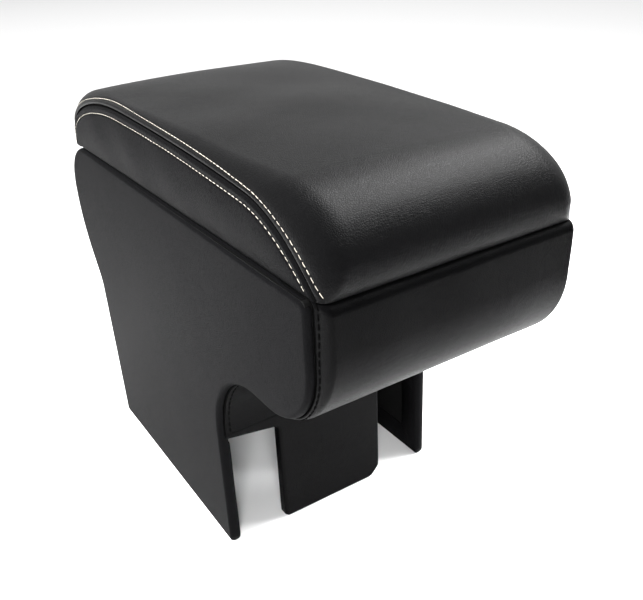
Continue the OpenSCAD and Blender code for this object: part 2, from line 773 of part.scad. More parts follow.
module lid_board() {
    back = lid_y1 - 2 * leather_t;
    front = lid_y0 + leather_t + 2 * fit;
    half_f = lid_half(front) - leather_t - seam_lean / 2 - fit;
    half_b = lid_half(back) - leather_t - seam_lean / 2 - fit;
    color(board) difference() {
        translate([0, 0, lid_board_z0]) linear_extrude(lid_board_t)
            polygon(rounded_outline([[-half_f, front, lid_board_r], [-half_b, back, lid_board_r / 2],
                [half_b, back, lid_board_r / 2], [half_f, front, lid_board_r]], 6));
        at_hinges() at_lid_screws() screw_hole(hinge_screw_r, head_r, lid_screw_l);
        at_strike_screw() screw_hole(hinge_screw_r, head_r, lid_screw_l);
    }
}

module lid_foam() {
    rows = lid_rows(leather_t + fit);
    rings = [for (row = rows) let (n = len(row), y = row[0].y, half = lid_half(y) - leather_t - seam_lean / 2 - fit)
        concat([[half, y, lid_z0]], row, [[-half, y, lid_z0]])];
    color(foam) intersection() {
        loft(rings);
        cross_box(half_w, front_y, back_y, lid_board_z1 + fit, lid_z1);
    }
}

// Leather turned under the lid board along one end, starting from a row of the lid's top
module end_fold(row, depth) {
    side = lid_half_front - lid_fold_w - fit;
    edge = [for (p = row) if (abs(p.x) < side) [p.x, p.y]];
    translate([0, 0, lid_z0]) linear_extrude(leather_t) polygon(concat([[side, edge[0].y]], edge,
        [[-side, edge[0].y], [-side, edge[0].y + depth], [side, edge[0].y + depth]]));
}

module lid_top_cover() {
    outer = lid_rows(0);
    last = len(outer) - 1;
    color(leather_soft) difference() {
        union() {
            intersection() {
                shell(outer, lid_rows(leather_t));
                cross_box(half_w, front_y, back_y, lid_z0, lid_z1 + 1);
            }
            end_fold(outer[0], lid_fold_w);
            end_fold(outer[last], lining_y1 + fit - outer[last][0].y);
        }
        translate([0, catch_y, rim_h]) cylinder(r = strike_d / 2 + fit, h = lid_board_z0 + fit - rim_h);
        at_hinges() box([-hinge_w / 2 - 2 * fit, leaf_y0 - fit, rim_h],
            [hinge_w / 2 + 2 * fit, pin_y + knuckle_r, lid_board_z0 + fit]);
    }
}

module lid_gusset() {
    seam = curve_line(seam_curves);
    top = shifted(seam, 2 * fit);
    inner = shifted(seam, leather_t + 2 * fit);
    rings = [for (i = [1 : len(seam) - 2]) let (y = top[i].x, low = lid_half(y), high = low - seam_lean)
        [[low, y, lid_z0], [high, top[i].x, top[i].y], [high - leather_t, inner[i].x, inner[i].y],
            [low - leather_t, y, lid_z0]]];
    y0 = rings[0][0].y;
    y1 = rings[len(rings) - 1][0].y;
    color(leather) union() {
        loft(rings);
        translate([0, 0, lid_z0]) linear_extrude(leather_t) polygon([[lid_half(y0) - leather_t / 2, y0],
            [lid_half(y1) - leather_t / 2, y1 - 3], [lid_half(y1) - lid_fold_w, y1 - 3],
            [lid_half_front - lid_fold_w, y0]]);
    }
}

module lid_left_gusset() { mirror([1, 0, 0]) lid_gusset(); }

module lid_right_gusset() { lid_gusset(); }

module lid_lining() {
    half = lid_half_front - lid_fold_w - 2 * fit;
    y0 = lid_y0 + 1.5 + lid_fold_w + fit;
    color(felt) difference() {
        cross_box(half, y0, lining_y1, lid_board_z0 - felt_t, lid_board_z0);
        translate([0, catch_y, lid_board_z0 - 2 * felt_t]) cylinder(r = strike_d / 2 + fit, h = 3 * felt_t);
    }
}

left_side_board();
right_side_board();
tongue_board();
nose_panel();
back_board();
floor_board();
left_batten();
right_batten();
front_rail();
rear_rail();
nose_pad();
nose_cover();
tongue_cover();
left_side_cover();
right_side_cover();
back_cover();
floor_lining();
left_lining();
right_lining();
front_lining();
back_lining();
board_screws();
left_fixed_leaf();
right_fixed_leaf();
left_hinge_pin();
right_hinge_pin();
fixed_leaf_screws();
catch_magnet();
bumpers();
lid_board();
lid_foam();
lid_top_cover();
lid_left_gusset();
lid_right_gusset();
lid_lining();
left_lid_leaf();
right_lid_leaf();
lid_leaf_screws();
strike_plate();
strike_screw();
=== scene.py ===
import json
import math

import bpy
import numpy as np
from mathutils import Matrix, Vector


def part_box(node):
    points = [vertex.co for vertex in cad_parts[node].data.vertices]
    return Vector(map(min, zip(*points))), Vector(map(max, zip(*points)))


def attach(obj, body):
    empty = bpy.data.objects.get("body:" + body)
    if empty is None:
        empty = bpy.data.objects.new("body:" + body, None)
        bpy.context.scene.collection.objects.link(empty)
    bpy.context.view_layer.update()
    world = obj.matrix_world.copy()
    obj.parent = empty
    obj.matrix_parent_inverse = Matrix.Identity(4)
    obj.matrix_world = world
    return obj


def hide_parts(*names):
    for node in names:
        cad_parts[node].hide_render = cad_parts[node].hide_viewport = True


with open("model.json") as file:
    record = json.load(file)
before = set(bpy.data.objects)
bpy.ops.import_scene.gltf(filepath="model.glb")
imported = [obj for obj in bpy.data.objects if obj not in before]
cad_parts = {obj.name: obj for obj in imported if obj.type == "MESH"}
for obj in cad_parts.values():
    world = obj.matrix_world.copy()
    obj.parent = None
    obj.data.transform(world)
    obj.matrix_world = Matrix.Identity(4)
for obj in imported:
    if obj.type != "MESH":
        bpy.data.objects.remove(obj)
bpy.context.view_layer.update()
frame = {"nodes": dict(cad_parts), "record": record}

print("frame loaded with", len(frame["nodes"]), "nodes")

# Sizes are in millimetres until a mesh is made
mm = 0.001


def cad(node, corner, axis):  # one side of a node's box: corner 0 is the lowest, 1 the highest
    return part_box(node)[corner][axis] / mm


# Places that the frame gives
halfWidth = cad("right_side_cover", 1, 0)
foldX = cad("right_side_cover", 0, 0)
boardX = cad("right_side_board", 0, 0)
sewnX = cad("back_cover", 1, 0)
seamY = cad("right_side_cover", 0, 1)
frontY = cad("nose_cover", 0, 1)
backY = cad("back_cover", 1, 1)
legY = cad("tongue_cover", 0, 1)
tongueBackY = cad("tongue_cover", 1, 1)
rimHeight = cad("back_cover", 1, 2)
stripEndZ = cad("nose_cover", 0, 2)
frontRailY = cad("front_rail", 1, 1)
rearRailY = cad("rear_rail", 0, 1)
railLowZ = cad("front_rail", 0, 2)
lidLowZ = cad("lid_top_cover", 0, 2)
lidHighZ = cad("lid_top_cover", 1, 2)

# Lines and outlines

box = {
    "leather": 1.2,  # thickness
    "footLength": 187,
    "noseUnder": 144,  # height of the nose's underside
    "noseRadius": 42,
    "coveRadius": 55,
    "noseTopRadius": 5,
    "rimRadius": 3,
    "innerRadius": 1.2,  # of the covers' inner edge at the rim
    "foldReach": 0.8,  # how far the covers reach below the rails inside
    "backRollRadius": 37,
    "swellHeight": 158,
    "swellRadius": 90,
    "kinkHeight": 116,
    "kinkRadius": 12,
    "swell": 23,
    "edgeRadius": 2,
    "sag": 1.0,  # of the parting line at the front left corner
    "sagReach": 14,  # height over which the sag fades
}
heelY = legY + box["footLength"]
kinkY = backY - box["swell"]
foldZ = railLowZ - box["foldReach"]
coveRadius = min(box["coveRadius"], box["noseUnder"] - stripEndZ - 1)

arcSteps = 30  # points on each rounded corner
sharp = 0.01  # radius of a corner that is all but sharp
nearZero = 1e-9


def unit(v):  # each row divided by its length
    return v / np.maximum(np.linalg.norm(v, axis=-1, keepdims=True), nearZero)


def rightOf(v):  # [y, z] turned to the right by a right angle
    return np.stack([v[..., 1], -v[..., 0]], -1)


# Corners [y, z, radius] of a closed outline moved to the right of its travel by depth: along the
# mitre, (rightIn + rightOut) * depth / (1 + in . out)
def moveCorners(corners, depth):
    c = np.array(corners, float)
    out = unit(np.roll(c[:, :2], -1, 0) - c[:, :2])
    into = np.roll(out, 1, 0)
    turn = into[:, 0] * out[:, 1] - into[:, 1] * out[:, 0]
    c[:, :2] += (rightOf(into) + rightOf(out)) * depth / (1 + (into * out).sum(1))[:, None]
    c[:, 2] = np.where(c[:, 2] > 0, np.maximum(sharp, c[:, 2] + np.sign(turn) * depth), 0)
    return c


# Each rounded corner as an arc: start + r sin(t) * in - side * right(in) * r (1 - cos(t))
def roundCorners(corners, closed=False):
    c = np.array(corners, float)
    n = len(c)
    line = []
    for i in range(n):
        if not closed and i in (0, n - 1):
            line.append(c[i, :2][None])
            continue
        into = unit(c[i, :2] - c[i - 1, :2])
        out = unit(c[(i + 1) % n, :2] - c[i, :2])
        bend = math.acos(max(-1, min(1, float(into @ out))))
        side = np.sign(into[0] * out[1] - into[1] * out[0])
        t = np.linspace(0, bend, arcSteps)[:, None]
        start = c[i, :2] - into * c[i, 2] * math.tan(bend / 2)
        line.append(start + c[i, 2] * (np.sin(t) * into - side * rightOf(into) * (1 - np.cos(t))))
    return np.concatenate(line)


# Distance along a line of points
def runOf(line):
    return np.concatenate([[0], np.cumsum(np.linalg.norm(np.diff(line, axis=0), axis=1))])


# Each column of a table read off at places on its run
def readAt(places, run, table):
    return np.stack([np.interp(places, run, column) for column in table.T], 1)


# Extra points every step along a line, whose first columns measure its run; points that crowd are left out
def refine(line, step, columns=2):
    apart = 1e-6  # keeps places that coincide in order
    crowd = 0.25 * min(step, 1)
    run = runOf(line[:, :columns])
    run += np.arange(len(run)) * apart
    even = np.linspace(0, run[-1], int(run[-1] / step) + 2)
    places = np.unique(np.round(np.concatenate([run, even]), 4))
    places = places[np.concatenate([[True], np.diff(places) > crowd])]
    return readAt(places, run, line)


# A chain of cubic curves, each a list of four points a, b, c, d:
# (1 - t)^3 a + 3 t (1 - t)^2 b + 3 t^2 (1 - t) c + t^3 d
def curveChain(curves, steps=40):
    t = np.linspace(0, 1, steps)[:, None]
    parts = [(1 - t) ** 3 * c[0] + 3 * t * (1 - t) ** 2 * c[1] + 3 * t * t * (1 - t) * c[2] + t ** 3 * c[3]
             for c in np.array(curves, float)]
    return np.concatenate([p[:-1] for p in parts] + [parts[-1][-1:]])


# Meshes

# Faces of a grid; outside is where the cross product of its direction from row to row
# and its direction from column to column points, or the other side when flipped
def gridFaces(rows, columns, first=0, closed=False, flip=False):
    i, j = np.meshgrid(np.arange(rows if closed else rows - 1), np.arange(columns - 1), indexing="ij")
    a = first + i * columns + j
    c = first + ((i + 1) % rows) * columns + j
    faces = np.stack([a, c, c + 1, a + 1], -1).reshape(-1, 4)
    return (faces[:, ::-1] if flip else faces).tolist()


# One mesh from grids of points, each (points, closed, flip, fill); fill adds the last column as a flat face
def makePiece(name, grids, material, body, replacing=()):
    points, faces, count = [], [], 0
    for grid in grids:
        p, closed, flip, fill = (list(grid) + [False] * 3)[:4]
        rows, columns = p.shape[:2]
        faces += gridFaces(rows, columns, count, closed, flip)
        if fill:
            rim = (count + np.arange(rows) * columns + columns - 1).tolist()
            faces.append(rim[::-1] if flip else rim)
        points.append(p.reshape(-1, 3))
        count += rows * columns
    mesh = bpy.data.meshes.new(name)
    mesh.from_pydata((np.concatenate(points) * mm).tolist(), [], faces)
    mesh.validate()
    mesh.shade_smooth()
    mesh.materials.append(material)
    piece = bpy.data.objects.new(name, mesh)
    bpy.context.scene.collection.objects.link(piece)
    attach(piece, body)
    if replacing:
        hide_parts(*replacing)
    return piece


# The parting line sags at the front left corner: z falls by sag * left * front * exp(-(height / reach)^2),
# where left and front run from 0 at the far side to 1 at the corner, and height is measured from the rim
def sagCorner(p):
    left = np.clip((halfWidth - p[..., 0]) / (2 * halfWidth), 0, 1)
    front = np.clip((backY - p[..., 1]) / (backY - frontY), 0, 1)
    out = p.copy()
    out[..., 2] -= box["sag"] * left * front * np.exp(-((p[..., 2] - rimHeight) / box["sagReach"]) ** 2)
    return out


def mirrorX(p):
    return p * np.array([-1, 1, 1])


def normals(p):  # of a grid, from the cross product of its two slopes
    return unit(np.cross(np.gradient(p, axis=0), np.gradient(p, axis=1)))


wave = {
    "count": 7,
    "fewest": 0.7,  # waves in a length of size
    "most": 1.5,
    "phase": 6.3,  # about a full turn
    "gain": 1.6,
}


# Soft unevenness: the mean of a few slanted sine waves about size long, times gain
def unevenness(p, size, seed):
    dice = np.random.default_rng(seed)
    slants = unit(dice.normal(size=(wave["count"], 3))) * 2 * math.pi / size
    slants = slants * dice.uniform(wave["fewest"], wave["most"], (wave["count"], 1))
    return np.sin(p @ slants.T + dice.uniform(0, wave["phase"], wave["count"])).mean(-1) * wave["gain"]


def runAlong(p, axis):  # distance travelled along one axis of a grid
    steps = np.linalg.norm(np.diff(p, axis=axis), axis=-1)
    lead = np.zeros([1 if a == axis else n for a, n in enumerate(p.shape[:2])])
    return np.concatenate([lead, np.cumsum(steps, axis=axis)], axis)


seam = {
    "valley": 0.85,  # depth of the seam's groove
    "valleyWidth": 1.0,
    "ridge": 0.45,  # the allowance under the leather on each side
    "ridgeAt": 2.4,
    "ridgeWidth": 1.2,
    "stitchDip": 0.3,  # how far the thread pulls the leather in
    "stitchWidth": 0.8,
    "pucker": 0.6,  # share of the dip that comes and goes from stitch to stitch
    "filler": 0.75,  # radius of the strip that closes the groove
    "fillerSides": 9,
    "calm": 9,  # distance from the seam over which the unevenness sets in
}


# A bump of height 1 round middle: exp(-((s - middle) / width)^2)
def bump(s, middle, width):
    return np.exp(-((s - middle) / width) ** 2)


# Height of the leather beside a seam, by the distance s from it and the run along it:
# a valley at the seam, a ridge beside it and a dip at the stitches, deepest where the thread goes in
def seamRelief(s, run, stitchAt, pitch):
    pull = 1 - seam["pucker"] * (0.5 - 0.5 * np.cos(2 * math.pi * run / pitch))
    valley = -seam["valley"] * bump(s, 0, seam["valleyWidth"])
    ridge = seam["ridge"] * bump(s, seam["ridgeAt"], seam["ridgeWidth"])
    return valley + ridge - seam["stitchDip"] * pull * bump(s, stitchAt, seam["stitchWidth"])


strip = {"rollSteps": 20, "middleSteps": 14, "middlePower": 1.6}  # the columns spread towards the middle


# Padded strips: point(u, v) leaves the seam line along a quarter of an ellipse, roll wide and as
# high as the crown stands over the seam, and then follows the crown to the middle, less its bow
def stripGrid(seamLine, crownLine, half, roll, bow):
    a = np.linspace(0, math.pi / 2, strip["rollSteps"])
    m = np.linspace(0, 1, strip["middleSteps"] + 1)[1:] ** strip["middlePower"]
    shareIn = np.concatenate([1 - np.cos(a), np.ones(len(m))])
    rise = np.concatenate([np.sin(a), np.ones(len(m))])
    middle = np.concatenate([np.zeros(len(a)), m])
    x = half[:, None] - roll[:, None] * shareIn
    x = x * (1 - middle)
    crown = np.repeat(crownLine[:, None], len(x[0]), 1)
    crown[..., 1] -= bow[:, None] * (x / half[:, None]) ** 2
    yz = seamLine[:, None] + (crown - seamLine[:, None]) * rise[None, :, None]
    right = np.concatenate([x[..., None], yz], -1)
    return np.concatenate([right, mirrorX(right[:, -2::-1])], 1)


# A strip with its seams, its stitches' pull and its unevenness pressed into it along its normals,
# less where it is calm
def dressStrip(p, look, seed, calm):
    across = runAlong(p, 1)
    s = np.minimum(across, across[:, -1:] - across)
    half = p.shape[1] // 2
    edge = np.concatenate([np.repeat(runAlong(p, 0)[:, :1], half + 1, 1),
                           np.repeat(runAlong(p, 0)[:, -1:], p.shape[1] - half - 1, 1)], 1)
    waves = look["unevenness"] * unevenness(p, look["unevennessSize"], seed)
    lift = seamRelief(s, edge, look["stitchAt"], look["pitch"]) + waves * (1 - bump(s, 0, seam["calm"]))
    return p + normals(p) * (lift * (1 - calm))[..., None]


# Points at distance s from a grid's first column, with their normals
def rowAt(p, s):
    smallest = 1e-6
    run = runAlong(p, 1)
    k = np.clip((run < s).sum(1) - 1, 0, p.shape[1] - 2)
    rows = np.arange(len(p))
    share = ((s - run[rows, k]) / np.maximum(run[rows, k + 1] - run[rows, k], smallest))[:, None]
    point, normal = (q[rows, k] * (1 - share) + q[rows, k + 1] * share for q in (p, normals(p)))
    return point, unit(normal)


# Circles round a path, in the plane of side and up: side * cos(a) + up * sin(a)
def rings(side, up, points):
    a = np.linspace(0, 2 * math.pi, points)[None, :, None]
    return side[:, None] * np.cos(a) + up[:, None] * np.sin(a)


stitch = {
    "share": 0.47,  # half its length as a share of the pitch
    "lift": 0.35,  # of its middle, in thread radii
    "sink": 2.2,  # of its ends, in thread radii
    "reach": 0.8,  # its direction is taken this far ahead and behind
    "blunt": 0.02,  # square of its radius at the ends
    "steps": 8,
    "sides": 7,
}


# Stitches along a path: each is a round thread that bends down into the leather at its ends,
# centre + along * t + normal * (lift - sink t^4), with radius r sqrt(1 - t^6)
def stitchGrids(path, normal, pitch, thread):
    run = runOf(path)
    middles = np.arange(pitch / 2, run[-1], pitch)
    along = unit(readAt(middles + stitch["reach"], run, path) - readAt(middles - stitch["reach"], run, path))
    up = unit(readAt(middles, run, normal))
    t = np.linspace(-1, 1, stitch["steps"])
    radius = thread * np.sqrt(np.maximum(stitch["blunt"], 1 - t ** 6))
    height = stitch["lift"] * thread - stitch["sink"] * thread * t ** 4
    ahead = t * pitch * stitch["share"]
    core = (readAt(middles, run, path)[:, None] + along[:, None] * ahead[None, :, None]
            + up[:, None] * height[None, :, None])
    ring = rings(unit(np.cross(along, up)), up, stitch["sides"])
    tubes = core[:, :, None] + ring[:, None] * radius[None, :, None, None]
    return [(tube,) for tube in tubes]


# A round strip along a path, which closes the bottom of a seam; made in black thread, it is also painted
# shade along the groove
def seamShadeFillerGrid(path, normal):
    up = unit(normal)
    side = unit(np.cross(unit(np.gradient(path, axis=0)), up))
    return (path[:, None] + seam["filler"] * rings(side, up, seam["fillerSides"]),)


print("shapes ready")

# Materials


# A node's output: its arithmetic adds Math nodes, and make adds any other node
class Signal:
    def __init__(self, tree, socket=None):
        self.tree = tree
        self.socket = socket

    # A node of one kind, its settings first, then its sockets' values or links
    def make(self, kind, settings=None, inputs=None, output=0):
        node = self.tree.nodes.new(kind)
        for key, value in (settings or {}).items():
            setattr(node, key, value)
        for key, value in (inputs or {}).items():
            if isinstance(value, Signal):
                self.tree.links.new(value.socket, node.inputs[key])
            else:
                node.inputs[key].default_value = value
        return Signal(self.tree, node.outputs[output] if node.outputs else None)

    def math(self, operation, a, b):
        return self.make("ShaderNodeMath", {"operation": operation}, {0: a, 1: b})

    def __add__(self, other):
        return self.math("ADD", self, other)

    def __sub__(self, other):
        return self.math("SUBTRACT", self, other)

    def __rsub__(self, other):
        return self.math("SUBTRACT", other, self)

    def __mul__(self, other):
        return self.math("MULTIPLY", self, other)

    __radd__ = __add__

    def between(self, low, high):  # 0 below low, 1 above high, smooth in between
        return self.make("ShaderNodeMapRange", {"interpolation_type": "SMOOTHSTEP"},
                         {"Value": self, "From Min": low, "From Max": high})

    def blend(self, a, b):  # from colour a to colour b
        return self.make("ShaderNodeMix", {"data_type": "RGBA"}, {0: self, 6: a, 7: b}, 2)


# A new material with an empty tree, and the coordinates of the object that wears it, in metres
def startMaterial(name):
    material = bpy.data.materials.new(name)
    material.use_nodes = True
    material.node_tree.nodes.clear()
    start = Signal(material.node_tree)
    return material, start, start.make("ShaderNodeTexCoord", {}, {}, "Object")


def noise(start, place, scale, detail=3, roughness=0.5):
    return start.make("ShaderNodeTexNoise", {}, {"Vector": place, "Scale": scale, "Detail": detail,
                                                 "Roughness": roughness})


def stretch(start, place, factors):
    return start.make("ShaderNodeMapping", {}, {"Vector": place, "Scale": factors})


def distanceAlong(start, place, direction):  # place times direction
    return start.make("ShaderNodeVectorMath", {"operation": "DOT_PRODUCT"}, {0: place, 1: direction}, "Value")


def finishMaterial(start, colour, roughness, height, depth, fixed=None):
    relief = start.make("ShaderNodeBump", {}, {"Height": height, "Distance": depth, "Strength": 1.0})
    inputs = {"Base Color": colour, "Roughness": roughness, "Normal": relief}
    inputs.update(fixed or {})
    shader = start.make("ShaderNodeBsdfPrincipled", {}, inputs)
    start.make("ShaderNodeOutputMaterial", {}, {"Surface": shader})


# Scales are in cells or waves per metre, and depths in metres
leatherLook = {
    "dark": (0.0065, 0.0065, 0.007),
    "worn": (0.0115, 0.0115, 0.0125),
    "pebble": 900,
    "groove": 0.22,  # width of the grooves as a share of a pebble
    "bend": 260,
    "bendReach": (0.0016, 0.0016, 0.0016),  # how far the pebbles are bent out of their cells
    "pore": 3200,
    "soft": 55,
    "broad": 17,
    "grooveGloss": 0.1,  # how much rougher the grooves are
    "broadGloss": 0.06,
    "grainDepth": 0.00011,
}


# Pebbled leather: tone scales its colour, shine is its specular level and gloss its lowest roughness
def leatherMaterial(name, tone, shine, gloss):
    material, start, place = startMaterial(name)
    bend = start.make("ShaderNodeTexNoise", {}, {"Vector": place, "Scale": leatherLook["bend"],
                                                 "Detail": 2.0}, "Color")
    bent = start.make("ShaderNodeVectorMath", {"operation": "MULTIPLY_ADD"},
                      {0: bend, 1: leatherLook["bendReach"], 2: place})
    pebbles = start.make("ShaderNodeTexVoronoi", {"feature": "DISTANCE_TO_EDGE"},
                         {"Vector": bent, "Scale": leatherLook["pebble"]})
    crest = pebbles.between(0.0, leatherLook["groove"])
    pores = noise(start, place, leatherLook["pore"])
    soft = noise(start, place, leatherLook["soft"], 2.0)
    broad = noise(start, place, leatherLook["broad"], 2.0)
    height = crest * 0.55 + pores * 0.3 + soft * 1.2
    wear = (broad * 0.6 + soft * 0.4).between(0.35, 0.75) * 0.3 + crest * 0.35
    dark, worn = (tuple(tone * c for c in leatherLook[key]) + (1,) for key in ("dark", "worn"))
    roughness = gloss + (1 - crest) * leatherLook["grooveGloss"] + (broad - 0.5) * leatherLook["broadGloss"]
    finishMaterial(start, wear.blend(dark, worn), roughness, height, leatherLook["grainDepth"],
                   {"Specular IOR Level": shine})
    return material


feltLook = {"fibre": 1500, "flock": 320, "depth": 0.0004, "sheen": 0.1, "shine": 0.1}


def feltMaterial(name, dark, light):
    material, start, place = startMaterial(name)
    fibres = start.make("ShaderNodeTexNoise", {}, {"Vector": place, "Scale": feltLook["fibre"], "Detail": 5.0,
                                                   "Roughness": 0.7, "Distortion": 1.5})
    flock = noise(start, place, feltLook["flock"])
    colour = (fibres * 0.6 + flock * 0.4).between(0.3, 0.7).blend(dark, light)
    finishMaterial(start, colour, 0.85 + fibres * 0.1, fibres + flock * 0.6, feltLook["depth"],
                   {"Sheen Weight": feltLook["sheen"], "Specular IOR Level": feltLook["shine"]})
    return material


boardLook = {"chip": 420, "grain": (1.0, 0.25, 1.0), "cloud": 30, "depth": 0.0002, "shine": 0.08}


def boardMaterial(name, dark, light):
    material, start, place = startMaterial(name)
    chips = noise(start, stretch(start, place, boardLook["grain"]), boardLook["chip"], 5.0, 0.65)
    cloud = noise(start, place, boardLook["cloud"])
    colour = (chips * 0.7 + cloud * 0.3).between(0.3, 0.72).blend(dark, light)
    finishMaterial(start, colour, 0.55 + chips * 0.25, chips, boardLook["depth"],
                   {"Specular IOR Level": boardLook["shine"]})
    return material


foamLook = {"cell": 1400, "depth": 0.0005}


def foamMaterial(name, dark, light):
    material, start, place = startMaterial(name)
    cells = start.make("ShaderNodeTexVoronoi", {"feature": "F1"},
                       {"Vector": place, "Scale": foamLook["cell"]})
    colour = cells.between(0.1, 0.6).blend(dark, light)
    finishMaterial(start, colour, 0.9 + cells * 0.05, cells, foamLook["depth"])
    return material


steelLook = {"line": 2600, "brushed": (0.05, 1.0, 1.0), "spot": 160, "depth": 0.00004}


def steelMaterial(name, dark, light):
    material, start, place = startMaterial(name)
    lines = noise(start, stretch(start, place, steelLook["brushed"]), steelLook["line"], 4.0)
    spots = noise(start, place, steelLook["spot"])
    colour = (lines * 0.5 + spots * 0.5).between(0.3, 0.7).blend(dark, light)
    finishMaterial(start, colour, 0.24 + lines * 0.2 + spots * 0.08, lines, steelLook["depth"],
                   {"Metallic": 1.0})
    return material


rubberLook = {"dust": 900, "depth": 0.0001}


def rubberMaterial(name, dark, light):
    material, start, place = startMaterial(name)
    dust = noise(start, place, rubberLook["dust"], 4.0)
    colour = dust.between(0.4, 0.8).blend(dark, light)
    finishMaterial(start, colour, 0.65 + dust * 0.2, dust, rubberLook["depth"])
    return material


threadLook = {"ply": 9000, "slant": (1.0, 1.3, 1.7), "fuzz": 1800, "depth": 0.00008}


# Twisted thread: fine slanted plies on a plain colour, 0.5 + 0.5 sin(ply * distance along the slant)
def threadMaterial(name, dark, light, shine):
    material, start, place = startMaterial(name)
    turn = distanceAlong(start, place, threadLook["slant"]) * threadLook["ply"]
    plies = turn.math("SINE", turn, 0.0) * 0.5 + 0.5
    fuzz = noise(start, place, threadLook["fuzz"])
    colour = (plies * 0.5 + fuzz * 0.5).between(0.2, 0.75).blend(dark, light)
    finishMaterial(start, colour, 0.6 + fuzz * 0.2, plies, threadLook["depth"], {"Specular IOR Level": shine})
    return material


def grey(level):
    return level, level, level, 1


# Copies of one leather, each with its own tone and specular level, so that every piece has the brightness it
# shows under these lamps: painted shade, darkest on the padded front and tongue, and painted sheen, strongest
# on the lid top
leather = leatherMaterial("leather", 0.4, 0.006, 0.36)
gussetPaintedLightLeather = leatherMaterial("gussetPaintedLightLeather", 0.35, 0.015, 0.36)
nosePaintedLightLeather = leatherMaterial("nosePaintedLightLeather", 0.15, 0.026, 0.36)
lidPaintedLightLeather = leatherMaterial("lidPaintedLightLeather", 0.25, 0.1, 0.31)
felt = feltMaterial("felt", (0.006, 0.006, 0.0065, 1), (0.022, 0.022, 0.0235, 1))
board = boardMaterial("board", grey(0.002), grey(0.005))
foam = foamMaterial("foam", (0.35, 0.31, 0.17, 1), (0.62, 0.56, 0.36, 1))
steel = steelMaterial("steel", (0.38, 0.38, 0.39, 1), (0.6, 0.6, 0.61, 1))
hingeSteel = steelMaterial("hingeSteel", (0.16, 0.16, 0.165, 1), (0.3, 0.3, 0.31, 1))
rubber = rubberMaterial("rubber", grey(0.008), grey(0.03))
creamThread = threadMaterial("creamThread", (0.26, 0.24, 0.2, 1), (0.56, 0.53, 0.46, 1), 0.3)
blackThread = threadMaterial("blackThread", grey(0.001), grey(0.003), 0.0)

slotFinish = {"leather": leather, "board": board, "foam": foam, "felt": felt, "steel": steel,
              "hinge_steel": hingeSteel, "rubber": rubber}
for row in frame["record"]["subparts"]:
    node = frame["nodes"][row["node"]]
    node.data.materials.clear()
    node.data.materials.append(slotFinish[row["material_slot"]])
print("materials ready")

# Padded front

nose = {
    "underBulge": 0.6,
    "easier": 0.5,  # how much rounder its crown is than its seam, past the bulge
    "roll": 2,  # width of the roll beside the seam, where the crown is level with it
    "rollShare": 0.2,  # of the crown's rise over the seam, added to that width
    "stitchAt": 4.4,
    "pitch": 4.6,
    "thread": 0.42,
    "step": 1.15,  # spacing of the grid's rows
    "unevenness": 0.35,
    "unevennessSize": 60,
    "rimBand": 20,  # height under the rim where it may lie flat
    "rimEase": 4,  # depth behind the seam over which it turns flat
}


# The side line (seam) and the middle line (crown), as [y, z] from the tongue up over the rim and down inside
def noseLines():
    innerY = frontRailY + box["leather"]
    rim = [[innerY, rimHeight, box["innerRadius"]], [innerY, foldZ, 0]]
    level = box["noseUnder"]
    seamCorners = [[legY, stripEndZ, 0], [legY, level, coveRadius], [seamY, level, box["noseRadius"]],
                   [seamY, rimHeight, box["rimRadius"]]] + rim
    under = level - nose["underBulge"]
    crownCorners = [[legY, stripEndZ, 0], [legY, under, coveRadius],
                    [frontY, under, box["noseRadius"] + seamY - frontY + nose["easier"]],
                    [frontY, rimHeight, box["noseTopRadius"]]] + rim
    both = refine(np.hstack([roundCorners(seamCorners), roundCorners(crownCorners)]), nose["step"], 4)
    return both[:, :2], both[:, 2:]


# A row of stitches beside the first column of a grid, where it lies above the height low.
# The stitches sit on the side that outward points to.
def stitchRow(grid, look, outward, low=0):
    path, up = rowAt(grid, look["stitchAt"])
    up = up * np.sign(up[len(up) // 2] @ np.array(outward))
    used = path[:, 2] > low
    return stitchGrids(path[used], up[used], look["pitch"], look["thread"])


# The rows of stitches beside both side edges of a grid
def edgeStitches(grid, look, outward, low=0):
    return stitchRow(grid, look, outward, low) + stitchRow(grid[:, ::-1], look, outward, low)


# The strips that fill the seams at both side edges of a grid, which also paint the grooves' shade
def edgeSeamShadeFillers(grid, rows):
    return [seamShadeFillerGrid(grid[:rows, k], normals(grid)[:rows, k]) for k in (0, -1)]


def makeNose():
    seamLine, crownLine = noseLines()
    rise = np.linalg.norm(crownLine - seamLine, axis=1)
    half = np.full(len(rise), sewnX)
    plain = stripGrid(seamLine, crownLine, half, nose["roll"] + nose["rollShare"] * rise, 0 * rise)
    nearRim = plain[..., 2] > rimHeight - nose["rimBand"]
    onRim = np.clip((plain[..., 1] - seamY) / nose["rimEase"], 0, 1) * nearRim
    p = sagCorner(dressStrip(plain, nose, 3, onRim))
    piece = makePiece("noseCover", [(p,)], nosePaintedLightLeather, "box", ["nose_cover"])
    stop = int((seamLine[:, 1] < rimHeight - box["rimRadius"]).sum())
    makePiece("noseStitches", edgeStitches(p[:stop], nose, (0, -1, 0)), blackThread, "box")
    # Black strips close the seams and paint the shade in their grooves
    makePiece("noseSeamShadeFillers", edgeSeamShadeFillers(p, stop), blackThread, "box")


makeNose()
print("padded front made")

# Side covers

side = {
    "edge": 2.6,  # how far the rounded edge reaches onto the face
    "edgeSteps": 8,
    "sewnEdge": 0.9,  # from the seam to the start of the rounded edge
    "wrappedEdge": 2.4,  # the same from the fold's inner face
    "fold": 17.6,
    "step": 3.0,
    "blend": 2.5,  # length over which a sewn edge becomes a wrapped one
    "slotDrop": 4,  # the wrapped front edge starts this far under the padded front's end
    "frontDepth": 30,  # depth in which the front edge lies
    "footHeight": 10,  # height in which the foot's edge lies
    "heelSewn": 6.5,  # length of the foot that the back cover's fold takes
    "railEdge": 1.4,  # from the rails to the wrapped rim
}


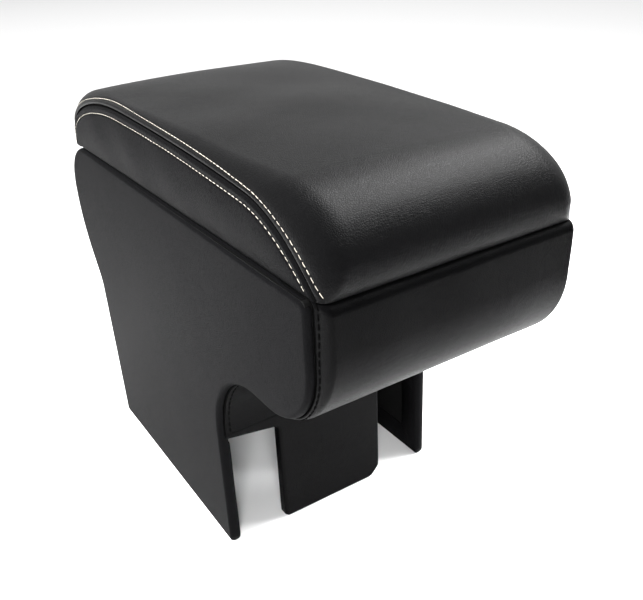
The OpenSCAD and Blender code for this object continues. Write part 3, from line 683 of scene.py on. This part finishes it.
def sideOutline():
    level = box["noseUnder"]
    return [[legY, 0, box["edgeRadius"]], [legY, level, coveRadius], [seamY, level, box["noseRadius"]],
            [seamY, rimHeight, box["rimRadius"]], [backY, rimHeight, box["backRollRadius"]],
            [backY, box["swellHeight"], box["swellRadius"]], [kinkY, box["kinkHeight"], box["kinkRadius"]],
            [heelY, 0, box["edgeRadius"]]]


# The rounded edge of a side as [x, depth inside the outline]: a quarter of an ellipse from x outwards
def roundEdge(x):
    t = np.linspace(0, math.pi / 2, side["edgeSteps"])
    return [[x + (halfWidth - x) * math.sin(a), side["edge"] * (1 - math.cos(a))] for a in t]


# How far the edge is wrapped round the board at points of the outline: 0 where it is sewn to the
# next cover, 1 along the leg's front, the foot and the rim, and blended over a short length
def wrapShare(y, z):
    front = (stripEndZ - side["slotDrop"] - z) / side["blend"] * (y < legY + side["frontDepth"])
    foot = np.where(z < side["footHeight"], (heelY - side["heelSewn"] - y) / side["blend"], -1)
    between = np.minimum(y - frontRailY - side["railEdge"], rearRailY - side["railEdge"] - y)
    rim = np.where(z > rimHeight - 1, between / side["blend"], -1)
    return np.clip(np.maximum(np.maximum(front, foot), rim), 0, 1)


# The outline carried through two profiles as [x, depth inside the outline], from the hidden end to
# the outer face, and blended: sewn * (1 - wrap) + wrapped * wrap
def sideGrid():
    last = [[halfWidth, side["edge"] + 1.2], [halfWidth, side["edge"] + 4]]
    sewn = [[sewnX - 1.0, 2.2], [sewnX - 0.4, 1.6], [sewnX, 1.0], [sewnX + 0.3, 0.45], [sewnX + 0.6, 0.12]]
    sewn += roundEdge(sewnX + side["sewnEdge"]) + last
    wrapped = [[boardX, side["fold"]], [foldX, side["fold"] - 0.5], [foldX, 2.6], [foldX + 0.5, 1.1],
               [foldX + 1.6, 0.2]]
    wrapped += roundEdge(foldX + side["wrappedEdge"]) + last
    corners = sideOutline()
    columns = [roundCorners(corners, True)]
    for profile in (sewn, wrapped):
        columns += [roundCorners(moveCorners(corners, d), True) for x, d in profile]
    line = refine(np.hstack([np.vstack([c, c[:1]]) for c in columns]), side["step"])[:-1]
    n = len(sewn)
    grids = []
    for k, profile in enumerate((sewn, wrapped)):
        yz = line[:, 2 + 2 * n * k:2 + 2 * n * (k + 1)].reshape(len(line), n, 2)
        x = np.repeat(np.array([q[0] for q in profile])[None, :, None], len(line), 0)
        grids.append(np.concatenate([x, yz], -1))
    wrap = wrapShare(line[:, 0], line[:, 1])[:, None, None]
    return grids[0] * (1 - wrap) + grids[1] * wrap


def makeSides():
    right = sideGrid()
    for name, p, flip, node in (("rightSide", right, True, "right_side_cover"),
                                ("leftSide", mirrorX(right), False, "left_side_cover")):
        makePiece(name, [(sagCorner(p), True, flip, True)], leather, "box", [node])


makeSides()
print("side covers made")

# Back cover

back = {
    "roll": 6,
    "heelRadius": 1.4,
    "heelFold": 6.4,  # how far it reaches under the heel
    "stitchAt": 4.4,
    "pitch": 4.6,
    "thread": 0.42,
    "step": 1.4,
    "unevenness": 0.3,
    "unevennessSize": 55,
    "rimDrop": 14,  # it turns flat from this far under the rim, over the height rimEase
    "rimEase": 8,
    "stitchStart": 14,  # the stitches begin this far behind the start of the back's roll
}


def makeBack():
    innerY = rearRailY - box["leather"]
    corners = [[innerY, foldZ, 0], [innerY, rimHeight, box["innerRadius"]],
               [backY, rimHeight, box["backRollRadius"]], [backY, box["swellHeight"], box["swellRadius"]],
               [kinkY, box["kinkHeight"], box["kinkRadius"]], [heelY, 0, back["heelRadius"]],
               [heelY - back["heelFold"], 0, 0]]
    line = refine(roundCorners(corners), back["step"])
    even = np.ones(len(line))
    plain = stripGrid(line, line, sewnX * even, back["roll"] * even, 0 * even)
    onRim = np.clip((plain[..., 2] - (rimHeight - back["rimDrop"])) / back["rimEase"], 0, 1)
    p = dressStrip(plain, back, 5, onRim)
    p[..., 2] = np.maximum(p[..., 2], 0)
    makePiece("backCover", [(p,)], leather, "box", ["back_cover"])
    used = (line[:, 0] > backY - box["backRollRadius"] + back["stitchStart"]) & (line[:, 1] > 1)
    makePiece("backStitches", edgeStitches(p[used], back, (0, 1, 0)), blackThread, "box")


makeBack()
print("back cover made")

# Tongue and front wall

tongue = {
    "half": 39,
    "slotTop": 75,
    "slotSlant": 6,
    "slotRadius": 3,
    "chamfer": 7,
    "leftChamfer": 2,
    "leftRadius": 1,
    "spare": 20,  # its top is drawn this much higher, and cut off level with the padded front's end
    "edge": 2.2,
    "edgeSteps": 7,
    "fold": 17.6,
    "step": 2.5,
}


# Its outline, clockwise as [x, z, radius]
def tongueOutline():
    half, bend = tongue["half"], tongue["slotRadius"]
    wide, high = sewnX, stripEndZ + tongue["spare"]
    slotTop, slotEnd = tongue["slotTop"], tongue["slotTop"] + tongue["slotSlant"]
    right, left = tongue["chamfer"], tongue["leftChamfer"]
    return [[-wide, high, sharp], [wide, high, sharp], [wide, slotEnd, sharp], [half, slotTop, bend],
            [half, right, bend], [half - right, 0, bend], [left - half, 0, tongue["leftRadius"]],
            [-half, left, tongue["leftRadius"]], [-half, slotTop, bend], [-wide, slotEnd, sharp]]


# The outline carried through a profile as [y, depth inside the outline]: the fold inside and both
# round edges, each a quarter of a circle
def makeTongue():
    edge = tongue["edge"]
    depth = tongueBackY - legY
    bend = [[edge * (1 - math.sin(a)), edge * (1 - math.cos(a))]
            for a in np.linspace(0, math.pi / 2, tongue["edgeSteps"])]
    profile = [[depth - box["leather"], tongue["fold"]], [depth, tongue["fold"] - 0.4]]
    profile += [[depth - y, d] for y, d in bend[::-1]] + bend + [[0, edge + 1]]
    loops = [roundCorners(moveCorners(tongueOutline(), d), True) for y, d in profile]
    line = refine(np.hstack([np.vstack([r, r[:1]]) for r in loops[2:] + loops[:2]]), tongue["step"])[:-1]
    n = len(profile)
    xz = np.roll(line.reshape(len(line), n, 2), 2, 1)
    y = np.repeat((legY + np.array([q[0] for q in profile]))[None, :, None], len(line), 0)
    p = np.concatenate([xz[..., :1], y, xz[..., 1:]], -1)
    p[..., 2] = np.minimum(p[..., 2], stripEndZ)
    makePiece("tongueCover", [(p, True, True, True)], nosePaintedLightLeather, "box", ["tongue_cover"])


makeTongue()
print("tongue made")

# Lid

lid = {
    "inFront": 3.5,  # how far its sides stand in from the box at the front, and at the back
    "inBack": 1,
    "lean": 1,  # of the sides, from the lower edge to the seam
    "bow": 2,  # how far the top falls from its middle to its sides
    "seamDrop": 5,
    "hang": 0.8,  # how far its padded edge hangs under the solid's
    "overFront": 4,  # from the nose's seam to its front end
    "overBack": 8.5,  # from the start of the back's roll to its back end
    "roll": 3,  # width of the roll beside the seam, where the crown is level with it
    "rollShare": 0.6,  # of the crown's rise over the seam, added to that width
    "stitchAt": 5.7,
    "pitch": 3.8,
    "thread": 0.18,
    "fold": 12,
    "foldAhead": 2.8,  # the front fold starts this far ahead of the sides' front end
    "foldShort": 0.4,  # the back fold ends this far before their back end
    "foldColumns": 9,
    "plump": 1.2,  # how far its padding swells over the crown
    "shoulder": 7,  # how far it swells out at the front right corner
    "shoulderPlace": (4, 22),  # middle of that swelling behind the front end and over the lower edge
    "shoulderSize": (60, 20),
    "shoulderEase": 8,  # height over the lower edge in which it sets in
    "calmHeight": 5,  # the lower edge is calm up to this height
    "step": 1.1,
    "unevenness": 0.5,
    "unevennessSize": 70,
}
gusset = {
    "bulge": 1.4,
    "bulgeHeight": 30,  # where it is lower than this, it bulges less
    "under": 0.2,  # from the top cover's seam to its upper edge
    "smallest": 0.05,  # height that is left where the seam meets the lower edge
    "edgeRadius": 1.5,
    "edgeIn": 0.5,  # share of that radius by which the lower edge stands in
    "foldIn": 1.6,  # from the gusset's face to the outer edge of its fold
    "lowSteps": 14,  # rows in its lower half
    "highSteps": 26,  # rows in its upper half, closer together at the seam
    "highPower": 0.8,
    "ease": 4,  # height over the lower edge in which the seam's relief sets in
    "unevenness": 0.3,
    "unevennessSize": 45,
}
lidY0 = seamY - lid["overFront"]
lidY1 = backY - box["backRollRadius"] + lid["overBack"]
lidEdgeZ = lidLowZ - lid["hang"]


def lidHalf(y):  # half width of the lid, narrower at the front
    share = (y - lidY0) / (lidY1 - lidY0)
    return halfWidth - lid["inFront"] + (lid["inFront"] - lid["inBack"]) * share


# The side line (seam) and the middle line (crown) as cubic curves from the front's lower edge to the back's
def lidLines():
    y0, y1, z0, z1, s1 = lidY0, lidY1, lidEdgeZ, lidHighZ, lidHighZ - lid["seamDrop"]
    top = z1 + lid["plump"]
    crown = [[[y0 - 3.2, z0], [y0 - 8.8, z0 + 12.5], [y0 - 0.5, top - 7], [y0 + 39.5, top - 3.7]],
             [[y0 + 39.5, top - 3.7], [y0 + 99.5, top - 0.7], [y1 - 141, top], [y1 - 81, top]],
             [[y1 - 81, top], [y1 - 51, top], [y1 - 21, top - 1], [y1 - 5, top - 9.5]],
             [[y1 - 5, top - 9.5], [y1 + 10, top - 18], [y1 + 11, z0 + 8.5], [y1, z0]]]
    seamCurves = [[[y0 + 1.5, z0], [y0 + 13.5, z0 + 12.5], [y0 + 33.5, s1 - 11.2], [y0 + 57.5, s1 - 8.2]],
                  [[y0 + 57.5, s1 - 8.2], [y0 + 99.5, s1 - 3.9], [y1 - 131, s1], [y1 - 81, s1 - 0.2]],
                  [[y1 - 81, s1 - 0.2], [y1 - 56, s1 - 0.3], [y1 - 33, s1 - 4.5], [y1 - 16, s1 - 11]],
                  [[y1 - 16, s1 - 11], [y1 + 5, s1 - 19], [y1 + 11, z0 + 8.5], [y1 - 1, z0]]]
    both = refine(np.hstack([curveChain(seamCurves), curveChain(crown)]), lid["step"], 4)
    return both[:, :2], both[:, 2:]


# The right gusset without its fold: x = half width - lean v + bulge sin(pi v), z = low + tall v,
# with v from 0 at the lower edge to 1 at the seam
def gussetWall(seamLine):
    y, top = seamLine[:, 0], seamLine[:, 1] - gusset["under"]
    tall = np.maximum(top - lidEdgeZ, gusset["smallest"])
    low = np.linspace(0, 0.5, gusset["lowSteps"])[:-1]
    v = np.concatenate([low, 0.5 + 0.5 * np.linspace(0, 1, gusset["highSteps"]) ** gusset["highPower"]])
    full = np.minimum(1, tall[:, None] / gusset["bulgeHeight"])
    x = lidHalf(y)[:, None] - lid["lean"] * v + gusset["bulge"] * np.sin(math.pi * v) * full
    wall = np.stack([x, np.repeat(y[:, None], len(v), 1), lidEdgeZ + tall[:, None] * v], -1)
    wall[:, 0, 0] -= gusset["edgeIn"] * np.minimum(gusset["edgeRadius"], tall / 2)
    return wall


# The fold under the lid, from inside to the gusset's lower edge, as three rows of points
def gussetFold(seamLine):
    y = seamLine[:, 0]
    inner, outer = lidHalf(y) - lid["fold"], lidHalf(y) - gusset["foldIn"]
    low = np.full(len(y), lidEdgeZ)
    return np.stack([np.stack([inner, y, low + box["leather"]], -1), np.stack([inner, y, low], -1),
                     np.stack([outer, y, low], -1)], 1)


# The right gusset, with the seam's relief and unevenness along its normals, less near its lower edge
def gussetGrid(seamLine):
    wall = gussetWall(seamLine)
    run = runAlong(wall, 1)
    edge = np.repeat(runAlong(wall, 0)[:, -1:], wall.shape[1], 1)
    fade = np.clip(run / gusset["ease"], 0, 1)
    waves = gusset["unevenness"] * unevenness(wall, gusset["unevennessSize"], 11)
    lift = (seamRelief(run[:, -1:] - run, edge, lid["stitchAt"], lid["pitch"]) + waves) * fade
    return np.concatenate([gussetFold(seamLine), wall + normals(wall) * lift[..., None]], 1)


# The front right corner is fuller: x moves out by shoulder * exp(-dy^2 - dz^2), and less towards the middle
def swellShoulder(p):
    dy, dz = ((p[..., k] - start - place) / size for k, start, place, size in
              zip((1, 2), (lidY0, lidLowZ), lid["shoulderPlace"], lid["shoulderSize"]))
    share = np.clip(p[..., 0] / halfWidth, 0, 1) ** 2
    ease = np.clip((p[..., 2] - lidLowZ) / lid["shoulderEase"], 0, 1)
    out = p.copy()
    out[..., 0] += lid["shoulder"] * share * np.exp(-dy ** 2 - dz ** 2) * ease
    return out


# The top cover's fold under the lid at one end: a flat strip from y0 to y1, turned up at both
def foldGrid(y0, y1):
    n = lid["foldColumns"]
    half = lidHalf(lidY0) - lid["fold"]
    x = np.linspace(-half, half, n)
    y = np.array([y0, y0, y1, y1])
    z = lidLowZ + box["leather"] * np.array([1, 0, 0, 1])
    return np.stack([np.repeat(x[:, None], 4, 1), np.repeat(y[None], n, 0), np.repeat(z[None], n, 0)], -1)


def makeLid():
    seamLine, crownLine = lidLines()
    rise = np.linalg.norm(crownLine - seamLine, axis=1)
    half = lidHalf(seamLine[:, 0]) - lid["lean"]
    bow = lid["bow"] * (crownLine[:, 1] - lidLowZ) / (lidHighZ - lidLowZ)
    plain = stripGrid(seamLine, crownLine, half, lid["roll"] + lid["rollShare"] * rise, bow)
    atEnds = np.clip(1 - (plain[..., 2] - lidLowZ) / lid["calmHeight"], 0, 1)
    p = sagCorner(swellShoulder(dressStrip(plain, lid, 7, atEnds)))
    piece = makePiece("lidTop", [(p,)], lidPaintedLightLeather, "lid", ["lid_top_cover"])
    lower = gussetGrid(seamLine)
    right, left = sagCorner(swellShoulder(lower)), sagCorner(mirrorX(lower))
    makePiece("rightGusset", [(right,)], gussetPaintedLightLeather, "lid", ["lid_right_gusset"])
    makePiece("leftGusset", [(left, False, True)], gussetPaintedLightLeather, "lid", ["lid_left_gusset"])
    rows = edgeStitches(p, lid, (0, 0, 1), lidLowZ)
    rows += stitchRow(right[:, ::-1], lid, (1, 0, 0), lidLowZ)
    rows += stitchRow(left[:, ::-1], lid, (-1, 0, 0), lidLowZ)
    makePiece("lidStitches", rows, creamThread, "lid")
    # Black strips close the seams and paint the shade in their grooves
    makePiece("lidSeamShadeFillers", edgeSeamShadeFillers(p, len(p)), blackThread, "lid")
    folds = [foldGrid(lidY0 - lid["foldAhead"], lidY0 + lid["fold"]),
             foldGrid(cad("lid_lining", 1, 1), lidY1 - lid["foldShort"])]
    makePiece("lidFolds", [(f, False, True) for f in folds], leather, "lid")


makeLid()
print("lid made")

# Floor, light and camera

studio = {
    "floor": (0.86, 0.86, 0.86, 1),
    # painted shade: the pale floor is coloured darker in front of the object
    "floorPaintedShade": (0.17, 0.17, 0.17, 1),  # the floor darkens in front of the picture
    "frontSide": (0.53, -0.85, 0),
    "frontReach": (0.35, 0.66),  # metres in that direction between which it darkens
    "reach": 4000,  # half the floor's length
    "drop": 0.2,  # of the floor under the feet
    "points": 9,  # along each side of the floor
    "bright": (1.0, 1.0, 1.0, 1),  # the room behind the object and above it
    "dim": (0.16, 0.16, 0.165, 1),  # the room in front
    "brightSide": (0.25, 0.85, 0.4),
    "brightReach": (-0.55, 0.45),  # share in that direction between which the room gets bright
    "strength": 0.75,
}


def floorMaterial():
    material, start, place = startMaterial("paleFloor")
    cloud = noise(start, place, 1.5)
    # The floor's colour turns to painted shade in front of the object, which the padded front reflects
    ahead = distanceAlong(start, place, studio["frontSide"]) + cloud * 0.1
    colour = ahead.between(*studio["frontReach"]).blend(studio["floor"], studio["floorPaintedShade"])
    finishMaterial(start, colour, 0.8 + cloud * 0.1, cloud, 0.00001, {"Specular IOR Level": 0.1})
    return material


def makeFloor():
    reach = np.linspace(-studio["reach"], studio["reach"], studio["points"])
    x, y = np.meshgrid(reach, reach, indexing="ij")
    mesh = bpy.data.meshes.new("floor")
    points = np.stack([x, y, np.full(x.shape, -studio["drop"])], -1).reshape(-1, 3) * mm
    mesh.from_pydata(points.tolist(), [], gridFaces(studio["points"], studio["points"]))
    mesh.materials.append(floorMaterial())
    floor = bpy.data.objects.new("floor", mesh)
    bpy.context.scene.collection.objects.link(floor)


def makeRoom():
    world = bpy.data.worlds.new("studio")
    bpy.context.scene.world = world
    world.use_nodes = True
    world.node_tree.nodes.clear()
    start = Signal(world.node_tree)
    direction = start.make("ShaderNodeTexCoord", {}, {}, "Generated")
    backness = distanceAlong(start, direction, studio["brightSide"])
    colour = backness.between(*studio["brightReach"]).blend(studio["dim"], studio["bright"])
    sky = start.make("ShaderNodeBackground", {}, {"Color": colour, "Strength": studio["strength"]})
    start.make("ShaderNodeOutputWorld", {}, {"Surface": sky})
    bpy.context.scene.view_settings.view_transform = "Standard"


# Soft boxes: name, place, target, size in metres, power in watts, and whether they are mirrored
lamps = [
    ("topSoftbox", (0.5, -0.04, 1.0), (0, -0.05, 0.2), 0.7, 20, True),
    ("floorSoftbox", (-0.2, 0.9, 3.0), (-0.2, 0.9, 0), 5, 108, False),
    ("leftSoftbox", (-0.4, 0.05, 0.5), (-0.2, 0.05, 0), 0.3, 9, False),
    ("frontSoftbox", (-0.5, -0.9, 0.45), (0, 0, 0), 0.3, 15, False),
    ("rightSoftbox", (0.7, -0.25, 0.3), (0.05, -0.1, 0), 0.3, 14, False),
]


def makeLamps():
    for name, place, target, size, power, mirrored in lamps:
        light = bpy.data.lights.new(name, "AREA")
        light.shape = "SQUARE"
        light.size = size
        light.energy = power
        lamp = bpy.data.objects.new(name, light)
        bpy.context.scene.collection.objects.link(lamp)
        aim = np.array(target) - np.array(place)
        lamp.visible_glossy = mirrored
        lamp.location = place
        lamp.rotation_mode = "QUATERNION"
        lamp.rotation_quaternion = Vector(aim).to_track_quat("-Z", "Y")


# The photo's view: place in metres, angles in degrees, lens and sensor in millimetres
view = {
    "place": (-0.2273, -0.4088, 0.3734),
    "azimuth": -31.87,
    "elevation": 27.35,
    "roll": -2.83,
    "lens": 44.24,
    "sensor": 36,
}


def makeCamera():
    az, el, roll = (math.radians(view[key]) for key in ("azimuth", "elevation", "roll"))
    behind = np.array([math.sin(az) * math.cos(el), -math.cos(az) * math.cos(el), math.sin(el)])
    right = np.array([math.cos(az), math.sin(az), 0])
    up = np.cross(behind, right)
    axes = [math.cos(roll) * right + math.sin(roll) * up,
            math.cos(roll) * up - math.sin(roll) * right, behind]
    data = bpy.data.cameras.new("camera")
    data.lens = view["lens"]
    data.sensor_width = view["sensor"]
    camera = bpy.data.objects.new("camera", data)
    bpy.context.scene.collection.objects.link(camera)
    turn = Matrix([[float(a[k]) for a in axes] for k in range(3)])
    camera.rotation_mode = "QUATERNION"
    camera.rotation_quaternion = turn.to_quaternion()
    camera.location = view["place"]
    bpy.context.scene.camera = camera


makeFloor()
makeRoom()
makeLamps()
makeCamera()
print("studio ready")
